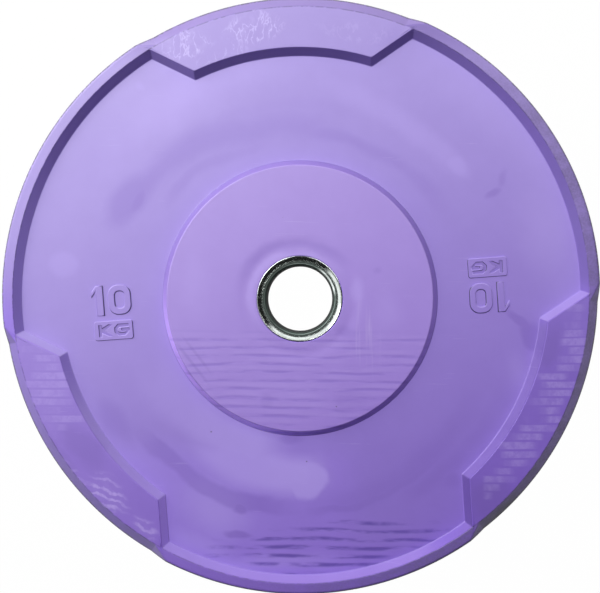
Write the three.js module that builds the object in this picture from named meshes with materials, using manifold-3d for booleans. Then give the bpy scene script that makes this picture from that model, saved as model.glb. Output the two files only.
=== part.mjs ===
// Bumper plate: one rubber moulding round a steel bore insert.
// Millimetres. The bore axis is Z, the front face looks along +Z and the origin is the middle of the bore.
// The rear face is the front face turned half a turn about Y, so both faces read the right way up.

import * as THREE from 'three';
import { mergeVertices } from 'three/addons/utils/BufferGeometryUtils.js';
import Module from 'manifold-3d';

const wasm = await Module();
wasm.setup();

// Plate: overall size, and the small round on its outer edges
const plateRadius = 225;
const plateThickness = 54;
const edgeRound = 2.5;

// Rim: the flat land round each face, and the drafted wall on its inner side
const rimWidth = 8.6;
const recessDepth = 10;
const rimWallDraft = 4.5;

// Grip tabs: three places where the land reaches inward and its outer edge is bevelled
const tabCount = 3;
const tabReach = 29.8;
const tabOuterHalfAngle = 26.9;
const tabInnerHalfAngle = 20.7;
const bevelWidth = 8.6;
const bevelDepth = 9.3;
const bevelFullHalfAngle = 25.3;
const bevelEndHalfAngle = 28.8;

// Hub: the raised disc round the bore, level with the rim
const hubRadius = 100;
const hubWallDraft = 5;

// Raised weight marks: a number over a small plate with the unit cut into it, twice on each face
const markRelief = 1.5;
const markHubGap = 22;
const numeralHeight = 23;
const numeralStroke = 5.2;
const zeroWidth = 17.5;
const zeroCornerShare = 0.86;
const counterCornerShare = 0.85;
const oneStemWidth = 5.8;
const oneFlagReach = 3.8;
const oneFlagHeight = 4.2;
const oneFlagDrop = 4.6;
const numeralGap = 3.4;
const unitPlateWidth = 29.6;
const unitPlateHeight = 14.8;
const unitPlateCornerRadius = 2;
const unitPlateGap = 4;
const unitPlateBorder = 3.1;
const unitPlateEndBorder = 4.7;
const letterDepth = 0.9;
const letterStroke = 2;
const letterGap = 2.6;

// Bore sleeve: the tube that runs on the bar
const boreRadius = 25.3;
const sleeveWall = 4;
const sleeveChamfer = 0.4;

// Collars: the flared rings that close the sleeve's two ends, level with the faces
const collarFlange = 3;
const collarDepth = 5.6;
const collarSkirt = 6;
const collarFootStep = 1.5;
const collarFootLand = 0.6;
const collarLipWidth = 1.1;
const collarLipRound = 0.5;
const collarFlareBow = 0.3;

// Anchor disc: the welded plate in the rubber, with holes that the rubber flows through
const anchorReach = 32.7;
const anchorThickness = 3;
const anchorHoleCount = 6;
const anchorHoleRadius = 7.5;

// Clearance between neighbouring pieces, and how far a cutter runs past what it cuts
const seatGap = 0.3;
const overrun = 2;

// Facet counts
const tabArcSteps = 16;
const plainArcSteps = 20;
const insertSteps = 72;
const hubSteps = 120;
const holeSteps = 20;
const cornerSteps = 5;
const flareSteps = 4;

// Sizes that follow
const halfThickness = plateThickness / 2;
const floorHeight = halfThickness - recessDepth;
const rimInnerRadius = plateRadius - rimWidth;
const tabInnerRadius = rimInnerRadius - tabReach;
const hubFootRadius = hubRadius + hubWallDraft;
const sleeveRadius = boreRadius + sleeveWall;
const sleeveHalfLength = halfThickness - collarDepth;
const collarRadius = sleeveRadius + collarFlange;
const collarFootHeight = sleeveHalfLength + seatGap;
const collarSkirtHeight = sleeveHalfLength - collarSkirt;
const collarSkirtRadius = sleeveRadius + seatGap;
const collarFootRadius = boreRadius + collarFootStep;
const anchorInnerRadius = sleeveRadius + seatGap;
const anchorRadius = sleeveRadius + anchorReach;
const anchorHoleCircleRadius = (anchorInnerRadius + anchorRadius) / 2;
const numeralWidth = oneFlagReach + oneStemWidth + numeralGap + zeroWidth;
const markHeight = numeralHeight + unitPlateGap + unitPlateHeight;
const markCentreRadius = hubFootRadius + markHubGap + Math.max(numeralWidth, unitPlateWidth) / 2;
const letterHeight = unitPlateHeight - 2 * unitPlateBorder;
const letterWidth = (unitPlateWidth - 2 * unitPlateEndBorder - letterGap) / 2;

// A closed solid from a geometry: shared vertices merged, empty triangles dropped, faces turned outward
function solidFrom(geometry) {
  const bare = geometry.index ? geometry.toNonIndexed() : geometry.clone();
  bare.deleteAttribute('normal');
  bare.deleteAttribute('uv');
  const merged = mergeVertices(bare);
  const position = merged.attributes.position;
  const corners = Array.from(merged.index.array);
  const triangles = [];
  let signedVolume = 0;
  const a = new THREE.Vector3();
  const b = new THREE.Vector3();
  const c = new THREE.Vector3();
  for (let i = 0; i < corners.length; i += 3) {
    const [first, second, third] = corners.slice(i, i + 3);
    if (first === second || second === third || third === first) continue;
    triangles.push([first, second, third]);
    a.fromBufferAttribute(position, first);
    b.fromBufferAttribute(position, second);
    c.fromBufferAttribute(position, third);
    signedVolume += a.dot(b.cross(c));
  }
  const outward = signedVolume > 0 ? triangles : triangles.map((triangle) => triangle.reverse());
  return new wasm.Manifold(new wasm.Mesh({
    numProp: 3,
    vertProperties: new Float32Array(position.array),
    triVerts: new Uint32Array(outward.flat()),
  }));
}

// The geometry of a solid, with flat shading
function geometryFrom(solid) {
  const mesh = solid.getMesh();
  const geometry = new THREE.BufferGeometry();
  geometry.setAttribute('position', new THREE.BufferAttribute(new Float32Array(mesh.vertProperties), 3));
  geometry.setIndex(new THREE.BufferAttribute(new Uint32Array(mesh.triVerts), 1));
  const flat = geometry.toNonIndexed();
  flat.computeVertexNormals();
  return flat;
}

// A solid turned about Z from a profile of [radius, height] points
function turned(profile, steps) {
  const points = profile.map(([radius, height]) => new THREE.Vector2(radius, height));
  return solidFrom(new THREE.LatheGeometry(points, steps).rotateX(Math.PI / 2));
}

// A ring turned about Z from a closed profile
function turnedRing(profile, steps) {
  return turned([...profile, profile[0]], steps);
}

// A flat outline raised from one height to another
function raised(shape, bottom, top) {
  const geometry = new THREE.ExtrudeGeometry(shape, {
    depth: top - bottom,
    bevelEnabled: false,
    curveSegments: cornerSteps,
  });
  return solidFrom(geometry.translate(0, 0, bottom));
}

// A solid that joins closed loops of equally many points, with a flat cap on the first and the last
function lofted(loops) {
  const count = loops[0].length;
  const indices = [];
  for (let level = 0; level + 1 < loops.length; level += 1) {
    for (let i = 0; i < count; i += 1) {
      const low = level * count + i;
      const lowNext = level * count + (i + 1) % count;
      indices.push(low, lowNext, lowNext + count);
      indices.push(low, lowNext + count, low + count);
    }
  }
  const capOutline = (loop) => loop.map((point) => new THREE.Vector2(point.x, point.y));
  const lastStart = (loops.length - 1) * count;
  for (const [i, j, k] of THREE.ShapeUtils.triangulateShape(capOutline(loops[0]), [])) {
    indices.push(k, j, i);
  }
  for (const [i, j, k] of THREE.ShapeUtils.triangulateShape(capOutline(loops.at(-1)), [])) {
    indices.push(lastStart + i, lastStart + j, lastStart + k);
  }
  const geometry = new THREE.BufferGeometry().setFromPoints(loops.flat());
  geometry.setIndex(indices);
  return solidFrom(geometry);
}

function joined(solids) {
  return solids.reduce((whole, solid) => whole.add(solid));
}

// The same solid for the rear face: half a turn about Y
function rearCopy(solid) {
  return solidFrom(geometryFrom(solid).rotateY(Math.PI));
}

// Places on the face are given by an angle from +Y, anticlockwise seen from the front
function placeAt(radius, degrees, height) {
  const angle = THREE.MathUtils.degToRad(degrees);
  return new THREE.Vector3(-radius * Math.sin(angle), radius * Math.cos(angle), height);
}

function stepsBetween(start, end, steps) {
  return Array.from({ length: steps + 1 }, (_, i) => THREE.MathUtils.lerp(start, end, i / steps));
}

// Plate blank: a disc whose edge round widens to the grip bevel along each tab
function bevelShareAt(degrees) {
  const pitch = 360 / tabCount;
  const fromTab = Math.abs(degrees - pitch * Math.round(degrees / pitch));
  const runOut = (fromTab - bevelFullHalfAngle) / (bevelEndHalfAngle - bevelFullHalfAngle);
  return 1 - THREE.MathUtils.clamp(runOut, 0, 1);
}

function blankAngles() {
  const pitch = 360 / tabCount;
  const angles = [];
  for (let tab = 0; tab < tabCount; tab += 1) {
    const centre = tab * pitch;
    angles.push(...stepsBetween(centre - bevelFullHalfAngle, centre + bevelFullHalfAngle, tabArcSteps));
    angles.push(...stepsBetween(centre + bevelEndHalfAngle, centre + pitch - bevelEndHalfAngle, plainArcSteps));
  }
  return angles;
}

function plateBlank() {
  const roundShoulder = edgeRound * (1 - Math.SQRT1_2);
  const edgePoints = (degrees) => {
    const share = bevelShareAt(degrees);
    const width = THREE.MathUtils.lerp(edgeRound, bevelWidth, share);
    const depth = THREE.MathUtils.lerp(edgeRound, bevelDepth, share);
    const shoulderWidth = THREE.MathUtils.lerp(roundShoulder, bevelWidth / 2, share);
    const shoulderDepth = THREE.MathUtils.lerp(roundShoulder, bevelDepth / 2, share);
    return [
      [plateRadius, halfThickness - depth],
      [plateRadius - shoulderWidth, halfThickness - shoulderDepth],
      [plateRadius - width, halfThickness],
    ];
  };
  const angles = blankAngles();
  const frontLoops = [0, 1, 2].map((level) => angles.map((degrees) => {
    const [radius, height] = edgePoints(degrees)[level];
    return placeAt(radius, degrees, height);
  }));
  const rearLoops = frontLoops.toReversed().map((loop) => loop.map((point) => {
    return new THREE.Vector3(point.x, point.y, -point.z);
  }));
  return lofted([...rearLoops, ...frontLoops]);
}

// The half angle at which a tab's straight end, moved into the recess by an offset, meets a circle
function tabCorner(offset, radius) {
  const inner = placeAt(tabInnerRadius, tabInnerHalfAngle, 0);
  const outer = placeAt(rimInnerRadius, tabOuterHalfAngle, 0);
  const along = outer.clone().sub(inner).normalize();
  const intoRecess = new THREE.Vector3(-along.y, along.x, 0);
  const start = inner.clone().addScaledVector(intoRecess, offset);
  const midway = start.dot(along);
  const reach = Math.sqrt(midway ** 2 - start.lengthSq() + radius ** 2) - midway;
  const corner = start.addScaledVector(along, reach);
  return THREE.MathUtils.radToDeg(Math.atan2(-corner.x, corner.y));
}

// The rim's inner outline, moved into the recess by an offset
function recessOutline(offset, height) {
  const pitch = 360 / tabCount;
  const tabRadius = tabInnerRadius - offset;
  const plainRadius = rimInnerRadius - offset;
  const tabAngle = tabCorner(offset, tabRadius);
  const plainAngle = tabCorner(offset, plainRadius);
  const points = [];
  for (let tab = 0; tab < tabCount; tab += 1) {
    const centre = tab * pitch;
    for (const degrees of stepsBetween(centre - tabAngle, centre + tabAngle, tabArcSteps)) {
      points.push(placeAt(tabRadius, degrees, height));
    }
    for (const degrees of stepsBetween(centre + plainAngle, centre + pitch - plainAngle, plainArcSteps)) {
      points.push(placeAt(plainRadius, degrees, height));
    }
  }
  return points;
}

function hubSolid() {
  const slope = hubWallDraft / recessDepth;
  return turned([
    [0, floorHeight - overrun],
    [hubFootRadius + slope * overrun, floorHeight - overrun],
    [hubRadius - slope * overrun * 2, halfThickness + overrun * 2],
    [0, halfThickness + overrun * 2],
  ], hubSteps);
}

function recessSolid() {
  const slope = rimWallDraft / recessDepth;
  const dish = lofted([
    recessOutline(rimWallDraft, floorHeight),
    recessOutline(-slope * overrun, halfThickness + overrun),
  ]);
  return dish.subtract(hubSolid());
}

// Outlines of the marks, each round its own middle: a whole shape, or a path where it is a hole
function roundedRectangle(width, height, corner, Outline = THREE.Shape) {
  const x = width / 2;
  const y = height / 2;
  const outline = new Outline();
  outline.moveTo(x, corner - y);
  outline.lineTo(x, y - corner);
  outline.absarc(x - corner, y - corner, corner, 0, Math.PI / 2);
  outline.lineTo(corner - x, y);
  outline.absarc(corner - x, y - corner, corner, Math.PI / 2, Math.PI);
  outline.lineTo(-x, corner - y);
  outline.absarc(corner - x, corner - y, corner, Math.PI, Math.PI * 3 / 2);
  outline.lineTo(x - corner, -y);
  outline.absarc(x - corner, corner - y, corner, Math.PI * 3 / 2, Math.PI * 2);
  return outline;
}

function polygon(points) {
  return new THREE.Shape(points.map(([x, y]) => new THREE.Vector2(x, y)));
}

function zeroShape() {
  const shape = roundedRectangle(zeroWidth, numeralHeight, zeroCornerShare * zeroWidth / 2);
  const counterWidth = zeroWidth - 2 * numeralStroke;
  const counterHeight = numeralHeight - 2 * numeralStroke;
  const counterCorner = counterCornerShare * counterWidth / 2;
  shape.holes.push(roundedRectangle(counterWidth, counterHeight, counterCorner, THREE.Path));
  return shape;
}

function oneShape() {
  const right = oneStemWidth / 2;
  const top = numeralHeight / 2;
  return polygon([
    [right, -top],
    [right, top],
    [-right, top],
    [-right - oneFlagReach, top - oneFlagDrop],
    [-right - oneFlagReach, top - oneFlagDrop - oneFlagHeight],
    [-right, top - oneFlagHeight],
    [-right, -top],
  ]);
}

function letterKShapes() {
  const left = -letterWidth / 2;
  const right = letterWidth / 2;
  const top = letterHeight / 2;
  const stem = polygon([[left, -top], [left + letterStroke, -top], [left + letterStroke, top], [left, top]]);
  const armFoot = left + letterStroke / 2;
  const armWidth = letterStroke * Math.SQRT2;
  const arms = polygon([
    [armFoot, -letterStroke / 2],
    [right - armWidth, -top],
    [right, -top],
    [left + letterStroke * 2, 0],
    [right, top],
    [right - armWidth, top],
    [armFoot, letterStroke / 2],
  ]);
  return [stem, arms];
}

function letterGShape() {
  const left = -letterWidth / 2;
  const right = letterWidth / 2;
  const top = letterHeight / 2;
  const cut = letterStroke / 2;
  return polygon([
    [right, top],
    [left + cut, top],
    [left, top - cut],
    [left, cut - top],
    [left + cut, -top],
    [right - cut, -top],
    [right, cut - top],
    [right, letterStroke / 2],
    [0, letterStroke / 2],
    [0, -letterStroke / 2],
    [right - letterStroke, -letterStroke / 2],
    [right - letterStroke, letterStroke - top],
    [left + letterStroke, letterStroke - top],
    [left + letterStroke, top - letterStroke],
    [right, top - letterStroke],
  ]);
}

function movedTo(solid, x, y) {
  return solid.translate([x, y, 0]);
}

// One weight mark round its own middle, standing on the recess floor
function markSolid() {
  const bottom = floorHeight - overrun;
  const top = floorHeight + markRelief;
  const numeralMiddle = markHeight / 2 - numeralHeight / 2;
  const unitMiddle = unitPlateHeight / 2 - markHeight / 2;
  const oneX = -numeralWidth / 2 + oneFlagReach + oneStemWidth / 2;
  const zeroX = numeralWidth / 2 - zeroWidth / 2;
  const one = movedTo(raised(oneShape(), bottom, top), oneX, numeralMiddle);
  const zero = movedTo(raised(zeroShape(), bottom, top), zeroX, numeralMiddle);

  const letterX = (letterWidth + letterGap) / 2;
  const letterBottom = top - letterDepth;
  const letterTop = top + overrun;
  const letterK = joined(letterKShapes().map((shape) => raised(shape, letterBottom, letterTop)));
  const letterG = raised(letterGShape(), letterBottom, letterTop);
  const unitPlate = raised(roundedRectangle(unitPlateWidth, unitPlateHeight, unitPlateCornerRadius), bottom, top)
    .subtract(movedTo(letterK, -letterX, 0))
    .subtract(movedTo(letterG, letterX, 0));
  return joined([one, zero, movedTo(unitPlate, 0, unitMiddle)]);
}

// Both marks of one face: upright on the left, half a turn round the bore on the right
function marksSolid() {
  const left = movedTo(markSolid(), -markCentreRadius, 0);
  return left.add(left.rotate([0, 0, 180]));
}

// The space that the steel insert fills in the rubber, with the rubber's pegs through the anchor disc
function insertSpace() {
  const outer = collarRadius + seatGap;
  const inner = sleeveRadius + seatGap;
  const shoulder = collarSkirtHeight - seatGap;
  const end = halfThickness + overrun;
  const core = turned([
    [0, -end],
    [outer, -end],
    [outer, -shoulder],
    [inner, -shoulder],
    [inner, shoulder],
    [outer, shoulder],
    [outer, end],
    [0, end],
  ], insertSteps);
  return core.add(anchorSpace());
}

function anchorSpace() {
  const halfSpace = anchorThickness / 2 + seatGap;
  const radius = anchorRadius + seatGap;
  const space = turned([[0, -halfSpace], [radius, -halfSpace], [radius, halfSpace], [0, halfSpace]], insertSteps);
  return space.subtract(anchorPegs(anchorHoleRadius - seatGap, halfSpace + overrun));
}

function anchorPegs(radius, halfLength) {
  const peg = turned([[0, -halfLength], [radius, -halfLength], [radius, halfLength], [0, halfLength]], holeSteps);
  const pegs = Array.from({ length: anchorHoleCount }, (_, i) => {
    const place = placeAt(anchorHoleCircleRadius, i * 360 / anchorHoleCount, 0);
    return peg.translate([place.x, place.y, 0]);
  });
  return joined(pegs);
}

function rubberBody() {
  const recess = recessSolid();
  const marks = marksSolid();
  return plateBlank()
    .subtract(recess)
    .subtract(rearCopy(recess))
    .add(marks)
    .add(rearCopy(marks))
    .subtract(insertSpace());
}

function boreSleeve() {
  return turnedRing([
    [boreRadius, sleeveChamfer - sleeveHalfLength],
    [boreRadius + sleeveChamfer, -sleeveHalfLength],
    [sleeveRadius, -sleeveHalfLength],
    [sleeveRadius, sleeveHalfLength],
    [boreRadius + sleeveChamfer, sleeveHalfLength],
    [boreRadius, sleeveHalfLength - sleeveChamfer],
  ], insertSteps);
}

// A collar sits on the sleeve's end, its skirt reaches down round the sleeve and its mouth flares out
function frontCollar() {
  const mouthRadius = collarRadius - collarLipWidth;
  const flareBottom = collarFootHeight + collarFootLand;
  const flareTop = halfThickness - collarLipRound;
  const flare = stepsBetween(0, 1, flareSteps).map((share) => [
    THREE.MathUtils.lerp(collarFootRadius, mouthRadius, share),
    THREE.MathUtils.lerp(flareBottom, flareTop, share) + collarFlareBow * Math.sin(Math.PI * share),
  ]);
  return turnedRing([
    [collarFootRadius, collarFootHeight],
    ...flare,
    [mouthRadius + collarLipRound, halfThickness],
    [collarRadius - collarLipRound, halfThickness],
    [collarRadius, halfThickness - collarLipRound],
    [collarRadius, collarSkirtHeight],
    [collarSkirtRadius, collarSkirtHeight],
    [collarSkirtRadius, collarFootHeight],
  ], insertSteps);
}

function anchorDisc() {
  const half = anchorThickness / 2;
  const disc = turnedRing([
    [anchorInnerRadius, -half],
    [anchorRadius, -half],
    [anchorRadius, half],
    [anchorInnerRadius, half],
  ], insertSteps);
  return disc.subtract(anchorPegs(anchorHoleRadius, half + overrun));
}

// Materials
const rubber = new THREE.MeshStandardMaterial({ color: 0xa18ad8, roughness: 0.55, metalness: 0 });
const platedSteel = new THREE.MeshStandardMaterial({ color: 0xc4c8c4, roughness: 0.22, metalness: 1 });
const plainSteel = new THREE.MeshStandardMaterial({ color: 0x8d9092, roughness: 0.5, metalness: 1 });

function piece(name, solid, material) {
  const mesh = new THREE.Mesh(geometryFrom(solid), material);
  mesh.name = name;
  return mesh;
}

const bumperPlate = new THREE.Group();
bumperPlate.add(piece('rubber_body', rubberBody(), rubber));
bumperPlate.add(piece('bore_sleeve', boreSleeve(), platedSteel.clone()));
bumperPlate.add(piece('front_collar', frontCollar(), platedSteel.clone()));
bumperPlate.add(piece('rear_collar', rearCopy(frontCollar()), platedSteel.clone()));
bumperPlate.add(piece('anchor_disc', anchorDisc(), plainSteel));

export default bumperPlate;
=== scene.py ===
import math

import bpy
import numpy as np
from mathutils import Matrix, Vector


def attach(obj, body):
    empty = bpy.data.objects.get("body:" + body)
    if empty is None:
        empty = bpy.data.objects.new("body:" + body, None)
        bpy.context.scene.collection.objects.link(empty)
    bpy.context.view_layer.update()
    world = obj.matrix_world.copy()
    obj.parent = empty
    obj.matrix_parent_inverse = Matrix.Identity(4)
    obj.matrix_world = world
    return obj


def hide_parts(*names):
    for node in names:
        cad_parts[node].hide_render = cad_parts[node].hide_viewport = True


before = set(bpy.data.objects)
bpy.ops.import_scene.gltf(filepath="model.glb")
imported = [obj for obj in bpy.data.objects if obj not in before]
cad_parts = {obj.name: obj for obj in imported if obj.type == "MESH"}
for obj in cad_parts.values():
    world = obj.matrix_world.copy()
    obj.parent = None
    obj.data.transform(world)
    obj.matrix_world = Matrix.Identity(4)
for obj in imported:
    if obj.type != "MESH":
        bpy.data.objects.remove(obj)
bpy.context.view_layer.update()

# Bumper plate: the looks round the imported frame.
# Sizes are millimetres and are turned into metres when a mesh is made. The bore axis is Z, the front face
# looks along +Z and +Y runs to the middle of one grip tab.

MILLIMETRE = 0.001

# Plate
PLATE_RADIUS = 224.9
HALF_THICKNESS = 27.0
EDGE_ROUND = 2.5
PARTING_BEAD = 0.3
PARTING_BEAD_WIDTH = 1.4

# Rim and recess
RIM_INNER_RADIUS = 216.4
RECESS_DEPTH = 10.0
FLOOR_HEIGHT = HALF_THICKNESS - RECESS_DEPTH
RIM_WALL_DRAFT = 4.5
RIM_EDGE_ROUND = 0.6
RIM_FOOT_ROUND = 0.7
CORNER_ROUND = 1.0

# Grip tabs
TAB_COUNT = 3
TAB_PITCH = 360.0 / TAB_COUNT
TAB_CENTRES = [tab * TAB_PITCH for tab in range(TAB_COUNT)]
TAB_INNER_RADIUS = 186.6
TAB_INNER_HALF_ANGLE = 20.7
TAB_OUTER_HALF_ANGLE = 26.9
BEVEL_WIDTH = 8.6
BEVEL_DEPTH = 9.3
BEVEL_FULL_HALF_ANGLE = 25.3
BEVEL_END_HALF_ANGLE = 28.8
BEVEL_EDGE_ROUND = 0.8

# Hub, with a shallow ditch pressed round the insert
HUB_RADIUS = 100.0
HUB_FOOT_RADIUS = 104.4
HUB_EDGE_ROUND = 1.2
HUB_FOOT_ROUND = 0.7
DITCH_RADIUS = 41.0
DITCH_WIDTH = 5.0
DITCH_DEPTH = 0.35
DITCH_INNER_REACH = 1.6
DITCH_OUTER_REACH = 2.6

# Insert
COLLAR_RADIUS = 32.3
COLLAR_SKIRT_HEIGHT = 15.4
COLLAR_FOOT_HEIGHT = 21.6
COLLAR_FOOT_RADIUS = 27.9
COLLAR_SKIRT_RADIUS = 29.6
COLLAR_LIP_WIDTH = 1.1
COLLAR_LIP_ROUND = 0.45
COLLAR_FOOT_LAND = 2.0
COLLAR_FLARE_BOW = 0.2
COLLAR_FOOT_ROUND = 0.15
COLLAR_LAND_ROUND = 0.25
COLLAR_EDGE_ROUND = 0.2
SLEEVE_BORE_RADIUS = 25.3
SLEEVE_RADIUS = 29.3
SLEEVE_HALF_LENGTH = 21.4
SLEEVE_CHAMFER = 1.4
SLEEVE_CHAMFER_RADIUS = SLEEVE_BORE_RADIUS + SLEEVE_CHAMFER
SLEEVE_MOUTH_ROUND = 0.15
SLEEVE_EDGE_ROUND = 0.1
ANCHOR_RADIUS = 62.3
ANCHOR_HALF_SPACE = 1.8
SEAT_GAP = 0.3
RUBBER_LIP_ROUND = 0.5

# Weight marks
MARK_TOP = FLOOR_HEIGHT + 1.5
MARK_BOTTOM = FLOOR_HEIGHT - 1.2
MARK_CENTRE_RADIUS = 143.0
MARK_EDGE_ROUND = 0.85
NUMERAL_HEIGHT = 23.0
NUMERAL_STROKE = 5.2
NUMERAL_GAP = 3.4
ZERO_WIDTH = 17.5
ZERO_CORNER = 7.5
ZERO_COUNTER_CORNER = 3.0
ONE_STEM_WIDTH = 5.8
ONE_FLAG_REACH = 3.4
ONE_FLAG_HEIGHT = 4.2
ONE_FLAG_DROP = 4.6
UNIT_PLATE_WIDTH = 29.6
UNIT_PLATE_HEIGHT = 14.8
UNIT_PLATE_CORNER = 2.0
UNIT_PLATE_GAP = 4.0
UNIT_PLATE_BORDER = 3.1
UNIT_PLATE_END_BORDER = 3.6
LETTER_DEPTH = 1.3
LETTER_STROKE = 2.1
LETTER_GAP = 1.6
LETTER_BAR_REACH = 0.7
LETTER_EDGE_ROUND = 0.55
LETTER_CORNER_CUT = 1.3
BACKING_INSET = 0.7

# Numbers of steps
TAB_STEPS = 56
PLAIN_STEPS = 60
CORNER_STEPS = 4
END_WALL_STEPS = 10
ROUND_STEPS = 4
WEB_STEPS = 12
HUB_FACE_STEPS = 22
EDGE_STEPS = 10
LATHE_STEPS = 256
CURVE_STEPS = 6
COLLAR_FLARE_STEPS = 8


def polar(radius, degrees):
    """A place on the face. Angles run anticlockwise from +Y, seen from the front."""
    angle = np.radians(degrees)
    return np.stack([-radius * np.sin(angle), radius * np.cos(angle)], axis=-1)


def rounded_path(points, radii, steps=ROUND_STEPS, closed=False):
    """A path with its corners rounded: each corner becomes a short arc of the given radius."""
    count = len(points)
    path = []
    for i in range(count):
        here = np.array(points[i], float)
        ends_here = not closed and i in (0, count - 1)
        if ends_here or radii[i] <= 0:
            path.append(here)
            continue
        back = np.array(points[i - 1], float) - here
        ahead = np.array(points[(i + 1) % count], float) - here
        back_length = np.linalg.norm(back)
        ahead_length = np.linalg.norm(ahead)
        back /= back_length
        ahead /= ahead_length
        half_angle = math.acos(np.clip(back @ ahead, -1, 1)) / 2
        reach = min(radii[i] / math.tan(half_angle), back_length / 2, ahead_length / 2)
        radius = reach * math.tan(half_angle)
        middle = back + ahead
        centre = here + middle / np.linalg.norm(middle) * radius / math.sin(half_angle)
        start = here + back * reach - centre
        end = here + ahead * reach - centre
        turn = math.atan2(start[0] * end[1] - start[1] * end[0], start @ end)
        for step in range(steps + 1):
            cosine = math.cos(turn * step / steps)
            sine = math.sin(turn * step / steps)
            arm = (start[0] * cosine - start[1] * sine, start[0] * sine + start[1] * cosine)
            path.append(centre + arm)
    return np.array(path)


# Rubber: every ring of points has the same number of points, so rings join into one closed skin


def tab_corner_angle(offset, radius):
    """The half angle at which a tab's straight end, moved into the recess, meets a circle."""
    inner = polar(TAB_INNER_RADIUS, TAB_INNER_HALF_ANGLE)
    outer = polar(RIM_INNER_RADIUS, TAB_OUTER_HALF_ANGLE)
    along = (outer - inner) / np.linalg.norm(outer - inner)
    into_recess = np.array([-along[1], along[0]])
    start = inner + into_recess * offset
    midway = start @ along
    reach = math.sqrt(midway**2 - start @ start + radius**2) - midway
    corner = start + along * reach
    return math.degrees(math.atan2(-corner[0], corner[1]))


def corner_curve(before, corner, after):
    """Points of a small curve that cuts a corner, without its two ends."""
    shares = np.linspace(0, 1, CORNER_STEPS + 2)[1:-1, None]
    return (1 - shares) ** 2 * before + 2 * shares * (1 - shares) * corner + shares**2 * after


def recess_outline(offset):
    """The rim's inner outline, moved into the recess, with its corners slightly rounded."""
    tab_radius = TAB_INNER_RADIUS - offset
    plain_radius = RIM_INNER_RADIUS - offset
    tab_angle = tab_corner_angle(offset, tab_radius)
    plain_angle = tab_corner_angle(offset, plain_radius)
    tab_end = tab_angle - math.degrees(CORNER_ROUND / tab_radius)
    plain_start = plain_angle + math.degrees(CORNER_ROUND / plain_radius)
    rings = []
    for centre in TAB_CENTRES:
        next_centre = centre + TAB_PITCH
        tab_arc = polar(tab_radius, np.linspace(centre - tab_end, centre + tab_end, TAB_STEPS))
        plain_angles = np.linspace(centre + plain_start, next_centre - plain_start, PLAIN_STEPS)
        plain_arc = polar(plain_radius, plain_angles)
        near_corner = polar(tab_radius, centre + tab_angle)
        far_corner = polar(plain_radius, centre + plain_angle)
        outward = (far_corner - near_corner) / np.linalg.norm(far_corner - near_corner)
        wall_start = near_corner + outward * CORNER_ROUND
        wall_end = far_corner - outward * CORNER_ROUND
        wall = wall_start + np.linspace(0, 1, END_WALL_STEPS)[:, None] * (wall_end - wall_start)
        near_curve = corner_curve(tab_arc[-1], near_corner, wall_start)
        far_curve = corner_curve(wall_end, far_corner, plain_arc[0])
        end_group = np.concatenate([near_curve, wall, far_curve])
        halfway = math.radians(centre + TAB_PITCH / 2)
        across = np.array([-math.sin(halfway), math.cos(halfway)])
        mirrored_group = (2 * np.outer(end_group @ across, across) - end_group)[::-1]
        rings += [tab_arc, end_group, plain_arc, mirrored_group]
    return np.concatenate(rings)


def outer_columns():
    """The angle of each column at the plate's outer edge, and how much of the grip bevel it has."""
    group = END_WALL_STEPS + 2 * CORNER_STEPS
    run_out = np.arange(1, group + 1) / (group + 1)
    bevel_end = BEVEL_FULL_HALF_ANGLE + run_out * (BEVEL_END_HALF_ANGLE - BEVEL_FULL_HALF_ANGLE)
    tab_angles = np.linspace(-BEVEL_FULL_HALF_ANGLE, BEVEL_FULL_HALF_ANGLE, TAB_STEPS)
    plain_angles = np.linspace(BEVEL_END_HALF_ANGLE, TAB_PITCH - BEVEL_END_HALF_ANGLE, PLAIN_STEPS)
    angles = np.concatenate([tab_angles, bevel_end, plain_angles, TAB_PITCH - bevel_end[::-1]])
    shares = np.concatenate([np.ones(TAB_STEPS), 1 - run_out, np.zeros(PLAIN_STEPS), run_out])
    return np.concatenate([angles + centre for centre in TAB_CENTRES]), np.tile(shares, TAB_COUNT)


def at_height(flat, height):
    """Points lifted to a height, which is one number or one for each point."""
    return np.column_stack([flat, np.broadcast_to(height, (len(flat),))])


def edge_profiles():
    """The plain edge round and the grip bevel as equally many [radius, height] points."""
    turn = np.linspace(0, math.pi / 2, EDGE_STEPS)
    radii = PLATE_RADIUS - EDGE_ROUND + EDGE_ROUND * np.sin(turn)
    heights = HALF_THICKNESS - EDGE_ROUND + EDGE_ROUND * np.cos(turn)
    bevel_start = PLATE_RADIUS - BEVEL_WIDTH
    bevel_foot = HALF_THICKNESS - BEVEL_DEPTH
    corners = [(bevel_start - BEVEL_WIDTH / 2, HALF_THICKNESS), (bevel_start, HALF_THICKNESS)]
    corners += [(PLATE_RADIUS, bevel_foot), (PLATE_RADIUS, bevel_foot - BEVEL_WIDTH / 2)]
    bevel = rounded_path(corners, [0, BEVEL_EDGE_ROUND, BEVEL_EDGE_ROUND, 0], EDGE_STEPS // 2 - 1)
    return np.column_stack([radii, heights]), bevel[1:-1]


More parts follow.
